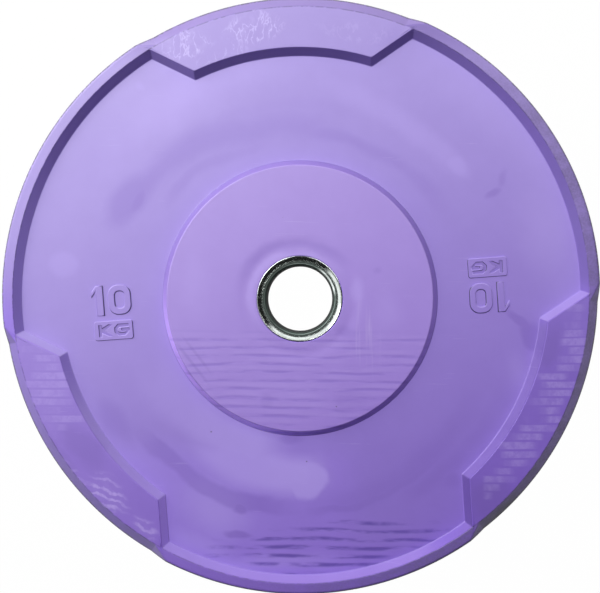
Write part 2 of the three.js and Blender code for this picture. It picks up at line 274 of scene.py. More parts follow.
def hub_rows():
    """The hub's profile from the insert space to its foot, with the ditch pressed into its face."""
    inner_radius = COLLAR_RADIUS + SEAT_GAP
    sleeve_radius = SLEEVE_RADIUS + SEAT_GAP
    skirt_height = COLLAR_SKIRT_HEIGHT - SEAT_GAP
    ditch_start = DITCH_RADIUS - DITCH_WIDTH * DITCH_INNER_REACH
    ditch_end = DITCH_RADIUS + DITCH_WIDTH * DITCH_OUTER_REACH
    corners = [(ANCHOR_RADIUS, ANCHOR_HALF_SPACE), (sleeve_radius, ANCHOR_HALF_SPACE)]
    corners += [(sleeve_radius, skirt_height), (inner_radius, skirt_height), (inner_radius, HALF_THICKNESS)]
    corners += [(ditch_start, HALF_THICKNESS), (HUB_RADIUS, HALF_THICKNESS)]
    corners += [(HUB_FOOT_RADIUS, FLOOR_HEIGHT), (HUB_FOOT_RADIUS + HUB_FOOT_ROUND * 2, FLOOR_HEIGHT)]
    rounded = rounded_path(corners, [0, 0, 0, 0, RUBBER_LIP_ROUND, 0, HUB_EDGE_ROUND, HUB_FOOT_ROUND, 0])
    ditch_radii = np.linspace(ditch_start, ditch_end, HUB_FACE_STEPS)[1:]
    split = int(np.argmax(rounded[:, 0] >= HUB_RADIUS - 2 * HUB_EDGE_ROUND))
    while rounded[split - 1][0] > ditch_end:
        split -= 1
    rows = np.concatenate([rounded[:split], at_height(ditch_radii, HALF_THICKNESS), rounded[split:]])
    for row in rows:
        if row[1] > HALF_THICKNESS - 2 * RUBBER_LIP_ROUND and row[0] < ditch_end:
            row[1] -= DITCH_DEPTH * math.exp(-(((row[0] - DITCH_RADIUS) / DITCH_WIDTH) ** 2))
    return rows


def front_rings():
    """The rings of the front half, from the rubber's inner wall to the middle of its outer edge."""
    toe_offset = RIM_WALL_DRAFT + RIM_FOOT_ROUND * 2
    toe = recess_outline(toe_offset)
    directions = toe / np.linalg.norm(toe, axis=1)[:, None]
    rows = hub_rows()
    rings = [at_height(directions * radius, height) for radius, height in rows]

    hub_foot = directions * rows[-1][0]
    for share in np.linspace(0, 1, WEB_STEPS + 1)[1:-1]:
        rings.append(at_height(hub_foot + (toe - hub_foot) * share, FLOOR_HEIGHT))

    wall_corners = [(toe_offset, FLOOR_HEIGHT), (RIM_WALL_DRAFT, FLOOR_HEIGHT)]
    wall_corners += [(0, HALF_THICKNESS), (-RIM_EDGE_ROUND * 2, HALF_THICKNESS)]
    for offset, height in rounded_path(wall_corners, [0, RIM_FOOT_ROUND, RIM_EDGE_ROUND, 0]):
        rings.append(at_height(recess_outline(offset), height))

    angles, bevel_shares = outer_columns()
    edge_rings = []
    for plain_point, bevel_point in zip(*edge_profiles()):
        radii, heights = (plain_point + np.outer(bevel_shares, bevel_point - plain_point)).T
        edge_rings.append(at_height(polar(1.0, angles) * radii[:, None], heights))
    land_inner = rings[-1]
    land_outer = edge_rings[0]
    rings.append(land_inner + (land_outer - land_inner) * 0.5)
    rings += edge_rings

    side = polar(PLATE_RADIUS, angles)
    bead_foot = side * (1 - PARTING_BEAD / PLATE_RADIUS)
    lowest = edge_rings[-1][:, 2]
    for share in (0.35, 0.7, 1):
        heights = lowest + (PARTING_BEAD_WIDTH - lowest) * share
        rings.append(at_height(bead_foot + (side - bead_foot) * (1 - share), heights))
    rings.append(at_height(bead_foot, PARTING_BEAD_WIDTH / 2))
    return rings


def joined_rings(rings):
    """Vertices and faces of a closed skin through rings of equally many points, last ring to first."""
    count = len(rings[0])
    vertices = np.concatenate(rings)
    faces = []
    for level in range(len(rings)):
        low = level * count
        high = (level + 1) % len(rings) * count
        for i in range(count):
            step = (i + 1) % count
            faces.append((low + i, high + i, high + step, low + step))
    return vertices, faces


def moulding_skin():
    front = front_rings()
    angles, _ = outer_columns()
    middle = at_height(polar(PLATE_RADIUS, angles), 0)
    rear = [ring * (1, 1, -1) for ring in reversed(front)]
    return joined_rings([*front, middle, *rear])


# Raised marks, drawn as flat outlines with a small round on their edges

HALF_TURN = (-1, -1, 1)
TO_REAR = (-1, 1, -1)


def rounded_rectangle(width, height, corner):
    x = width / 2
    y = height / 2
    return rounded_path([(x, -y), (x, y), (-x, y), (-x, -y)], [corner] * 4, CURVE_STEPS, closed=True)


def zero_outlines():
    inner_width = ZERO_WIDTH - 2 * NUMERAL_STROKE
    inner_height = NUMERAL_HEIGHT - 2 * NUMERAL_STROKE
    outer = rounded_rectangle(ZERO_WIDTH, NUMERAL_HEIGHT, ZERO_CORNER)
    return [outer, rounded_rectangle(inner_width, inner_height, ZERO_COUNTER_CORNER)]


def one_outline():
    right = ONE_STEM_WIDTH / 2
    top = NUMERAL_HEIGHT / 2
    flag = -right - ONE_FLAG_REACH
    flag_top = top - ONE_FLAG_DROP
    points = [(right, -top), (right, top), (-right, top), (flag, flag_top)]
    points += [(flag, flag_top - ONE_FLAG_HEIGHT), (-right, top - ONE_FLAG_HEIGHT), (-right, -top)]
    return np.array(points)


def letter_k_outline(width, height):
    left = -width / 2
    right = width / 2
    top = height / 2
    stem = left + LETTER_STROKE
    half = LETTER_STROKE / 2
    arm = right - LETTER_STROKE * math.sqrt(2)
    notch = half + (top - half) / (arm - left - half) * half
    points = [(left, -top), (stem, -top), (stem, -notch), (arm, -top), (right, -top)]
    points += [(left + 2 * LETTER_STROKE, 0)]
    points += [(right, top), (arm, top), (stem, notch), (stem, top), (left, top)]
    return np.array(points)


def letter_g_outline(width, height):
    left = -width / 2
    right = width / 2
    top = height / 2
    half = LETTER_STROKE / 2
    cut = LETTER_STROKE * LETTER_CORNER_CUT
    bar_end = right + LETTER_BAR_REACH
    inner_left = left + LETTER_STROKE
    inner_right = right - LETTER_STROKE
    inner_top = top - LETTER_STROKE
    inner_cut = cut / 2
    points = [(right, top), (left + cut, top), (left, top - cut), (left, cut - top), (left + cut, -top)]
    points += [(right - cut, -top), (right, cut - top), (right, -half), (bar_end, -half), (bar_end, half)]
    points += [(0, half), (0, -half), (inner_right, -half), (inner_right, -inner_top)]
    points += [(inner_left + inner_cut, -inner_top), (inner_left, inner_cut - inner_top)]
    points += [(inner_left, inner_top - inner_cut), (inner_left + inner_cut, inner_top), (right, inner_top)]
    return np.array(points)


def new_object(name, data):
    holder = bpy.data.objects.new(name, data)
    bpy.context.scene.collection.objects.link(holder)
    return holder


def slab(outlines, bottom, top, edge_round):
    """Vertices and faces of a flat shape with thickness, whose outlines may have holes in them."""
    curve = bpy.data.curves.new("outline", "CURVE")
    curve.dimensions = "2D"
    curve.fill_mode = "BOTH"
    curve.extrude = (top - bottom) / 2 - edge_round
    curve.bevel_depth = edge_round
    curve.bevel_resolution = 2
    curve.offset = -edge_round
    for outline in outlines:
        spline = curve.splines.new("POLY")
        spline.points.add(len(outline) - 1)
        spline.use_cyclic_u = True
        for point, (x, y) in zip(spline.points, outline):
            point.co = (x, y, 0, 1)
    holder = new_object("outline", curve)
    depsgraph = bpy.context.evaluated_depsgraph_get()
    mesh = bpy.data.meshes.new_from_object(holder.evaluated_get(depsgraph))
    vertices = np.array([vertex.co[:] for vertex in mesh.vertices])
    vertices[:, 2] += (top + bottom) / 2
    faces = [tuple(polygon.vertices) for polygon in mesh.polygons]
    bpy.data.objects.remove(holder)
    bpy.data.curves.remove(curve)
    bpy.data.meshes.remove(mesh)
    return vertices, faces


def moved(shape, x, y):
    vertices, faces = shape
    return vertices + (x, y, 0), faces


def turned(shape, signs):
    vertices, faces = shape
    return vertices * signs, faces


def weight_mark():
    """The number and the small plate under it, round the middle of the mark."""
    numeral_width = ONE_FLAG_REACH + ONE_STEM_WIDTH + NUMERAL_GAP + ZERO_WIDTH
    mark_height = NUMERAL_HEIGHT + UNIT_PLATE_GAP + UNIT_PLATE_HEIGHT
    numeral_y = (mark_height - NUMERAL_HEIGHT) / 2
    unit_y = (UNIT_PLATE_HEIGHT - mark_height) / 2
    one_x = -numeral_width / 2 + ONE_FLAG_REACH + ONE_STEM_WIDTH / 2
    zero_x = (numeral_width - ZERO_WIDTH) / 2
    letter_height = UNIT_PLATE_HEIGHT - 2 * UNIT_PLATE_BORDER
    letter_width = (UNIT_PLATE_WIDTH - 2 * UNIT_PLATE_END_BORDER - LETTER_GAP) / 2
    letter_x = (letter_width + LETTER_GAP) / 2
    backing_width = UNIT_PLATE_WIDTH - 2 * BACKING_INSET
    backing_height = UNIT_PLATE_HEIGHT - 2 * BACKING_INSET
    backing = rounded_rectangle(backing_width, backing_height, UNIT_PLATE_CORNER)
    plate = [
        rounded_rectangle(UNIT_PLATE_WIDTH, UNIT_PLATE_HEIGHT, UNIT_PLATE_CORNER),
        letter_k_outline(letter_width, letter_height) - (letter_x, 0),
        letter_g_outline(letter_width, letter_height) + (letter_x, 0),
    ]
    letter_floor = MARK_TOP - LETTER_DEPTH
    return [
        moved(slab([one_outline()], MARK_BOTTOM, MARK_TOP, MARK_EDGE_ROUND), one_x, numeral_y),
        moved(slab(zero_outlines(), MARK_BOTTOM, MARK_TOP, MARK_EDGE_ROUND), zero_x, numeral_y),
        moved(slab([backing], MARK_BOTTOM + BACKING_INSET, letter_floor, 0), 0, unit_y),
        moved(slab(plate, MARK_BOTTOM, MARK_TOP, LETTER_EDGE_ROUND), 0, unit_y),
    ]


def weight_marks():
    """All the raised marks: one upright on the left of each face and one turned on the right."""
    left = [moved(shape, -MARK_CENTRE_RADIUS, 0) for shape in weight_mark()]
    front = left + [turned(shape, HALF_TURN) for shape in left]
    return front + [turned(shape, TO_REAR) for shape in front]


# Making objects

WALL_FOOT_RADIUS = TAB_INNER_RADIUS - 6
WALL_FOOT_HEIGHT = FLOOR_HEIGHT + 0.05
SHADING_WEIGHT = 60


def on_rim(place):
    """Whether a place on the moulding, in metres, belongs to the rim, its tabs or its walls."""
    radius = math.hypot(place[0], place[1]) / MILLIMETRE
    height = abs(place[2]) / MILLIMETRE
    return radius > RIM_INNER_RADIUS or (radius > WALL_FOOT_RADIUS and height > WALL_FOOT_HEIGHT)


def mesh_piece(name, shapes, material, rim_material=None):
    """One object from several sets of vertices and faces in millimetres, riding on the plate."""
    vertices = []
    faces = []
    for shape_vertices, shape_faces in shapes:
        start = len(vertices)
        vertices += [tuple(vertex * MILLIMETRE) for vertex in shape_vertices]
        faces += [tuple(start + index for index in face) for face in shape_faces]
    mesh = bpy.data.meshes.new(name)
    mesh.from_pydata(vertices, [], faces)
    mesh.validate()
    mesh.shade_smooth()
    mesh.materials.append(material)
    if rim_material:
        mesh.materials.append(rim_material)
        for polygon in mesh.polygons:
            polygon.material_index = int(on_rim(polygon.center))
    piece = new_object(name, mesh)
    normals = piece.modifiers.new("even shading", "WEIGHTED_NORMAL")
    normals.mode = "FACE_AREA_WITH_ANGLE"
    normals.weight = SHADING_WEIGHT
    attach(piece, "root")
    return piece


def lathe(profile):
    """Vertices and faces of a closed [radius, height] profile turned about the bore axis."""
    angles = np.linspace(0, 360, LATHE_STEPS, endpoint=False)
    return joined_rings([at_height(polar(radius, angles), height) for radius, height in profile])


# Materials


class Nodes:
    """Writes a node tree: each call adds one or more nodes and gives back what comes out of the last."""

    def __init__(self, tree):
        self.tree = tree
        self.tree.nodes.clear()

    def plug(self, socket, value):
        if isinstance(value, bpy.types.NodeSocket):
            self.tree.links.new(value, socket)
        else:
            socket.default_value = value

    def add(self, kind, inputs=None, output=0, **settings):
        node = self.tree.nodes.new("ShaderNode" + kind)
        for name, value in settings.items():
            setattr(node, name, value)
        for name, value in (inputs or {}).items():
            self.plug(node.inputs[name], value)
        return node.outputs[output] if node.outputs else None

    def mix(self, share, first, second, blend="MIX"):
        node = self.tree.nodes.new("ShaderNodeMix")
        node.data_type = "RGBA"
        node.blend_type = blend
        for index, value in ((0, share), (6, first), (7, second)):
            self.plug(node.inputs[index], value)
        return node.outputs[2]

    def math(self, operation, first, second=0.0):
        return self.add("Math", {0: first, 1: second}, operation=operation)

    def joined(self, operation, values):
        total = values[0]
        for value in values[1:]:
            total = self.math(operation, total, value)
        return total

    def times(self, *values):
        return self.joined("MULTIPLY", values)

    def plus(self, *values):
        return self.joined("ADD", values)

    def most(self, *values):
        return self.joined("MAXIMUM", values)

    def minus(self, first, second):
        return self.math("SUBTRACT", first, second)

    def apart(self, first, second):
        return self.math("ABSOLUTE", self.minus(first, second))

    def ease(self, value, low, high, to_low=0.0, to_high=1.0):
        """The value eased from one range into another, and held at its ends."""
        inputs = {"Value": value, "From Min": low, "From Max": high, "To Min": to_low, "To Max": to_high}
        return self.add("MapRange", inputs, interpolation_type="SMOOTHSTEP")

    def wave(self, value, spacing):
        """A sine wave along the value, with the spacing in millimetres."""
        return self.math("SINE", self.times(value, math.tau / (spacing * MILLIMETRE)))

    def noise(self, place, scale, detail=2.0, roughness=0.5, distortion=0.0):
        inputs = {"Vector": place, "Scale": scale, "Detail": detail, "Roughness": roughness}
        return self.add("TexNoise", {**inputs, "Distortion": distortion})

    def stretched(self, place, turn, scales=(1, 1, 1)):
        inputs = {"Vector": place, "Rotation": (0, 0, math.radians(turn)), "Scale": scales}
        return self.add("Mapping", inputs)

    def streaky(self, place, turn, scales, detail=2.0, roughness=0.5):
        """Noise that is stretched along one direction."""
        return self.noise(self.stretched(place, turn, scales), 1.0, detail, roughness)

    def oval(self, place, edge, middle, size, turn, core):
        """A soft oval on the faces, in millimetres: 1 in its core and 0 outside it."""
        inputs = {
            "Vector": place,
            "Location": (middle[0] * MILLIMETRE, middle[1] * MILLIMETRE, 0),
            "Rotation": (0, 0, math.radians(turn)),
            "Scale": (size[0] * MILLIMETRE, size[1] * MILLIMETRE, 1),
        }
        local = self.add("Mapping", inputs, vector_type="TEXTURE")
        reach = self.add("VectorMath", {0: local}, output=1, operation="LENGTH")
        return self.ease(self.plus(reach, edge), OVAL_END, core)

    def parts(self, vector):
        return self.add("SeparateXYZ", {0: vector}).node.outputs

    def bumped(self, relief):
        """The normal on a surface whose relief is given in metres."""
        return self.add("Bump", {"Strength": 1.0, "Distance": 1.0, "Height": relief})

    def face_places(self):
        """Where a point lies on the plate, in metres: level axes, height, radius and clock angle."""
        level = self.stretched(self.add("TexCoord", output=3), PHOTO_TURN)
        x, y, z = self.parts(level)
        depth = self.math("ABSOLUTE", z)
        radius = self.math("SQRT", self.plus(self.times(x, x), self.times(y, y)))
        clock = self.times(self.math("ARCTAN2", x, y), 180 / math.pi)
        return level, x, y, depth, radius, clock


def new_material(name):
    material = bpy.data.materials.new(name)
    material.use_nodes = True
    return material


PHOTO_TURN = 4.1
OVAL_END = 1.1
ARC_END = 1.2
ARC_END_SHARE = 0.16

# Wear on the rubber, and light and shade painted on it, in millimetres and in axes level with the picture.
# Ovals have a middle, half sizes, a turn, the share of their size at which the edge starts to fade, and a
# strength.
SCUFF_OVALS = {
    "left tab": ((-188, -66), (21, 36), 18, 0.2, 0.42),
    "right tab upper end": ((207, -26), (11, 24), 0, 0.2, 0.42),
    "right tab middle": ((193, -66), (13, 32), -24, 0.4, 0.46),
    "right tab lower part": ((167, -108), (12, 30), -40, 0.4, 0.4),
    "right tab lower end": ((150, -131), (7, 16), -42, 0.5, 0.35),
}
SQUIGGLE_OVALS = {
    "left tab lower part": ((-145, -150), (24, 14), -42, 0.4, 0.95),
    "left tab lower end": ((-119, -174), (13, 9), -38, 0.3, 0.75),
    "left tab outer edge": ((-170, -136), (20, 4), -50, 0.3, 0.35),
}
CHALK_OVALS = {
    "left end": ((-84, 190), (24, 12), 12, 0.45, 0.95),
    "middle": ((-34, 200), (26, 12), 0, 0.45, 0.85),
    "inner edge": ((-58, 181), (22, 6), 18, 0.45, 0.45),
    "right": ((40, 199), (30, 9), -8, 0.45, 0.2),
}
TAB_SMUDGE_OVALS = {
    "left tab middle": ((-166, -110), (26, 13), -56, 0.3, 0.5),
    "left tab outer edge": ((-186, -112), (30, 5), -56, 0.2, 0.35),
    "right tab inner edge": ((187, -38), (11, 20), -8, 0.4, 0.62),
    "right tab lower end": ((144, -152), (26, 24), -45, 0.3, 0.75),
    "top tab right end": ((72, 190), (17, 15), 0, 0.1, 0.28),
}
PALE_OVALS = {
    "web left patch": ((-180, 26), (14, 13), 20, 0.6, 0.26),
    "web top left": ((-88, 150), (62, 23), 30, 0.0, 0.46),
    "web right patch": ((117, 100), (15, 8), -35, 0.3, 0.42),
    "web far right": ((186, 52), (30, 60), 12, 0.0, 0.42),
    "web beside right tab": ((165, -54), (12, 18), 15, 0.0, 0.24),
    "web below the hub": ((9, -139), (17, 17), -10, 0.82, 0.85),
    "web foot left": ((-78, -188), (40, 13), -22, 0.0, 0.32),
    "web smudge": ((-118, 160), (7, 4), -45, 0.2, 0.25),
    "hub left edge": ((-80, 12), (14, 32), 0, 0.1, 0.22),
    "hub beside the insert": ((42, 6), (6, 12), 0, 0.2, 0.45),
    "hub right": ((66, -8), (14, 26), 10, 0.1, 0.22),
    "hub low": ((-10, -72), (48, 24), 0, 0.0, 0.18),
    "web foot": ((-20, -203), (90, 9), 2, 0.0, 0.35),
    "web low left": ((-66, -160), (36, 24), -22, 0.0, 0.5),
}
DARK_OVALS = {
    "upper left end": ((-129, 75), (30, 17), 50, 0.45, 0.62),
    "upper left core": ((-122, 74), (19, 8), 64, 0.2, 0.85),
    # The next three ovals are painted shade on the web along the tabs' walls
    "web beside left tab": ((-142, -92), (26, 11), -56, 0.2, 0.5),
    "web beside right tab": ((177, -29), (14, 10), -42, 0.6, 0.8),
    "web beside right tab, tail": ((166, -18), (13, 4.5), -24, 0.5, 0.72),
    "web low right corner": ((117, -139), (9, 9), 0, 0.2, 0.45),
    "web right hook": ((145, 79), (8, 4), 25, 0.3, 0.7),
    "web right hook stem": ((152, 90), (4, 10), -15, 0.2, 0.5),
    "web low spot": ((-47, -159), (8, 4.5), -14, 0.3, 0.85),
    "web low smear": ((-48, -178), (12, 3.5), -8, 0.4, 0.8),
    # Painted shade at the hub's foot
    "hub foot": ((-6, -107), (13, 4), 0, 0.3, 0.6),
    "hub low right": ((38, -76), (14, 12), 20, 0.5, 0.24),
    "hub low left": ((-27, -76), (5, 8), 25, 0.4, 0.28),
    "hub notch": ((57, 23), (5, 4), 35, 0.1, 0.35),
    "under the insert": ((36, -24), (10, 6), 0, 0.3, 0.4),
}
# Arcs have a clock angle and radius for each end, half a width, the share of it at which the edge starts to
# fade, and a strength for each end. Clock angles run clockwise from the top.
PALE_ARCS = {
    "top left": ((-62, 176), (-6, 177), 15, 0.1, (0.1, 0.34)),
    "top right": ((6, 160), (50, 152), 10, 0.1, (0.22, 0.34)),
    # The next three arcs are painted light on the web beside the right rim and beside the hub's foot, and the
    # one after them is a painted highlight on the inner side of the ditch round the insert
    "along the right rim": ((34, 203), (100, 203), 22, 0.0, (0.26, 0.24)),
    "left of the foot": ((-116, 122), (-170, 117), 19, 0.3, (0.22, 0.82)),
    "foot": ((-148, 129), (-186, 138), 19, 0.35, (0.62, 0.95)),
    "beside the insert": ((-115, 35.5), (50, 35.5), 3.5, 0.1, (0.35, 0.35)),
}
DARK_ARCS = {
    "upper left": ((-60, 147), (-34, 141), 10, 0.1, (0.6, 0.5)),
    "top left": ((-48, 143), (8, 129), 14, 0.05, (0.56, 0.34)),
    "top left inner": ((-52, 125), (-10, 122), 6, 0.1, (0.4, 0.2)),
    "top": ((-34, 147), (16, 145), 7, 0.1, (0.2, 0.1)),
    "top right": ((3, 125), (56, 126), 7, 0.1, (0.45, 0.3)),
    "lower left": ((-131, 159), (-175, 161), 7, 0.5, (0.66, 0.62)),
    "lower right": ((174, 160), (120, 153), 11, 0.1, (0.4, 0.3)),
    "lower right edge": ((177, 165), (140, 161), 4.5, 0.2, (0.62, 0.4)),
    "beside right tab": ((152, 172), (112, 170), 8, 0.1, (0.45, 0.15)),
    # Painted shade on the outer side of the ditch round the insert
    "over the insert": ((-66, 44), (46, 42), 6, 0.1, (0.4, 0.46)),
}
RIPPLE_SPACING = 6.5
SQUIGGLE_SPACING = 6.4
STREAK_SPACING = 6.9
SLANT_SPACING = 6.8

# Walls of the rim: how far they face sideways, a range of places up the picture in metres, and a tint
# of painted light where it is above 1 and of painted shade where it is below
WALL_TINTS = {
    "right": ((-0.72, -0.88), (0.0, 0.02), (0.81, 0.83, 0.81)),
    "lower left end": ((0.75, 0.95), (-0.12, -0.14), (1.9, 2.0, 1.55)),
    "lower right": ((-0.45, -0.6), (-0.014, -0.024), (0.88, 0.9, 0.84)),
    "lower right end": ((-0.7, -0.9), (-0.085, -0.1), (0.74, 0.7, 0.8)),
}

# Colours of the rubber, of what lies on it, and of the light and shade painted on it
RUBBER_SHADED_LOW_RIGHT = (0.223, 0.127, 0.558, 1)
RUBBER_LIT_UPPER_LEFT = (0.311, 0.237, 0.592, 1)
SCRATCH = (0.62, 0.55, 0.82)
SPECK = (0.06, 0.04, 0.12)
CREASE_SHADE = (0.09, 0.05, 0.26)
PALE_SMEAR_AND_LIGHT = (0.45, 0.348, 0.81)
DARK_SMEAR_AND_SHADE = (0.155, 0.08, 0.43)
DARK_SMUDGE = (0.14, 0.074, 0.38)
PRESS_LINE_SHADE = (0.145, 0.076, 0.44)
PRESS_STRIP_HIGHLIGHT = (0.44, 0.345, 0.73)
SLANT_LINE = (0.13, 0.07, 0.38)
FOOT_STREAK_SHADE = (0.105, 0.052, 0.36)
UPRIGHT_STREAK = (0.46, 0.37, 0.7)
MARK_SIDE_SHADE = (0.018, 0.006, 0.085)
MARK_SIDE_HIGHLIGHT = (0.5, 0.42, 0.76)
LETTER_FLOOR_SHADE = (0.1, 0.05, 0.3)
FOOT_HIGHLIGHT_LINE = (0.52, 0.44, 0.78)
GRIME_AND_SHADE = (0.11, 0.07, 0.235)
LOW_RIGHT_BEVEL_SHADOW = (0.03, 0.018, 0.07)
OUTER_EDGE = (0.06, 0.058, 0.065)
BEVEL_LINE = (0.05, 0.035, 0.11)
SCUFF = (0.455, 0.352, 0.77)
CHALK = (0.72, 0.68, 0.88)


class RubberSurface(Nodes):
    """What both parts of the moulding share: places, colour fading as painted light, uneven edges and the
    final shader.
    """

    def __init__(self, name):
        self.material = new_material(name)
        super().__init__(self.material.node_tree)
        times = self.times
        ease = self.ease
        level, self.x, self.y, depth, self.radius, self.clock = self.face_places()
        self.level = level
        self.depth = depth
        normal = self.stretched(self.add("TexCoord", output=1), PHOTO_TURN)
        self.facing = self.parts(normal)
        self.off_land = ease(depth, 0.0255, 0.0265, 1.0, 0.0)
        self.on_land = ease(depth, 0.0255, 0.0265)
        self.above_floor = ease(depth, 0.0171, 0.018)
        self.wall = times(self.above_floor, ease(depth, 0.0269, 0.0262))
        self.broad = self.noise(level, 26.0, 4.0, 0.6)
        self.ragged = times(self.minus(self.broad, 0.5), 1.5)
        self.drift = self.streaky(level, 0, (7, 22, 1), 3.0)
        bends = self.add("TexNoise", {"Vector": level, "Scale": 24.0, "Detail": 3.0}, output=1)
        bends = self.add("VectorMath", {0: bends, 1: (0.5, 0.5, 0.5)}, operation="SUBTRACT")
        self.bends = self.add("VectorMath", {0: bends, 3: 0.016}, operation="SCALE")
        self.bent = self.add("VectorMath", {0: level, 1: self.bends}, operation="ADD")
        # Painted light: the rubber is paler towards the upper left and deeper towards the lower right
        light_fade_place = self.plus(times(self.x, -0.45), times(self.y, 0.89))
        light_fade_share = self.plus(times(light_fade_place, 0.5 / 0.225), 0.5)
        self.body = self.mix(light_fade_share, RUBBER_SHADED_LOW_RIGHT, RUBBER_LIT_UPPER_LEFT)
        clouds = self.noise(level, 5.5, 3.0, 0.5, 0.3)
        mottle = self.noise(level, 55.0, 4.0, 0.6)
        self.tint((0.97, 0.96, 0.98), ease(clouds, 0.3, 0.7))
        self.tint((0.96, 0.95, 0.97), ease(mottle, 0.25, 0.75))

    def tint(self, colour, *masks):
        self.body = self.mix(self.times(*masks), self.body, (*colour, 1), "MULTIPLY")

    def paint(self, colour, strength, *masks):
        self.body = self.mix(self.times(*masks, strength), self.body, (*colour, 1))

    def ovals(self, table, edge, place):
        masks = []
        for *oval, strength in table.values():
            masks.append(self.times(self.oval(place, edge, *oval), strength))
        return self.most(0.0, *masks)

    def finish(self, roughness, relief):
        """Scratches, specks, grain and the shader itself."""
        times = self.times
        ease = self.ease
        level = self.level
        scratches = self.streaky(level, 63, (24, 900, 24), 2.0, 0.6)
        scratches = times(ease(scratches, 0.69, 0.72), ease(self.broad, 0.5, 0.62))
        self.paint(SCRATCH, 0.12, scratches)
        specks = self.add("TexVoronoi", {"Vector": level, "Scale": 42.0, "Randomness": 1.0}, feature="F1")
        speck_pick = self.noise(level, 31.0, 0.0)
        specks = times(ease(specks, 0.03, 0.022), ease(speck_pick, 0.6, 0.62))
        self.paint(SPECK, 0.75, specks)
        sheen_patches = self.noise(level, 16.0, 3.0, 0.55)
        roughness = self.plus(roughness, ease(sheen_patches, 0.25, 0.75, 0.47, 0.54))
        grain = self.noise(level, 900.0, 3.0, 0.6)
        wobble = self.noise(level, 34.0, 3.0, 0.5)
        small_relief = [times(wobble, 0.0001), times(grain, 0.000006)]
        small_relief += [times(scratches, -0.00001), times(specks, -0.0001)]
        inputs = {
            "Base Color": self.body,
            "Roughness": roughness,
            "Specular IOR Level": 1.0,
            "IOR": 1.52,
            "Normal": self.bumped(self.plus(relief, *small_relief)),
        }
        self.add("OutputMaterial", {"Surface": self.add("BsdfPrincipled", inputs)})
        return self.material


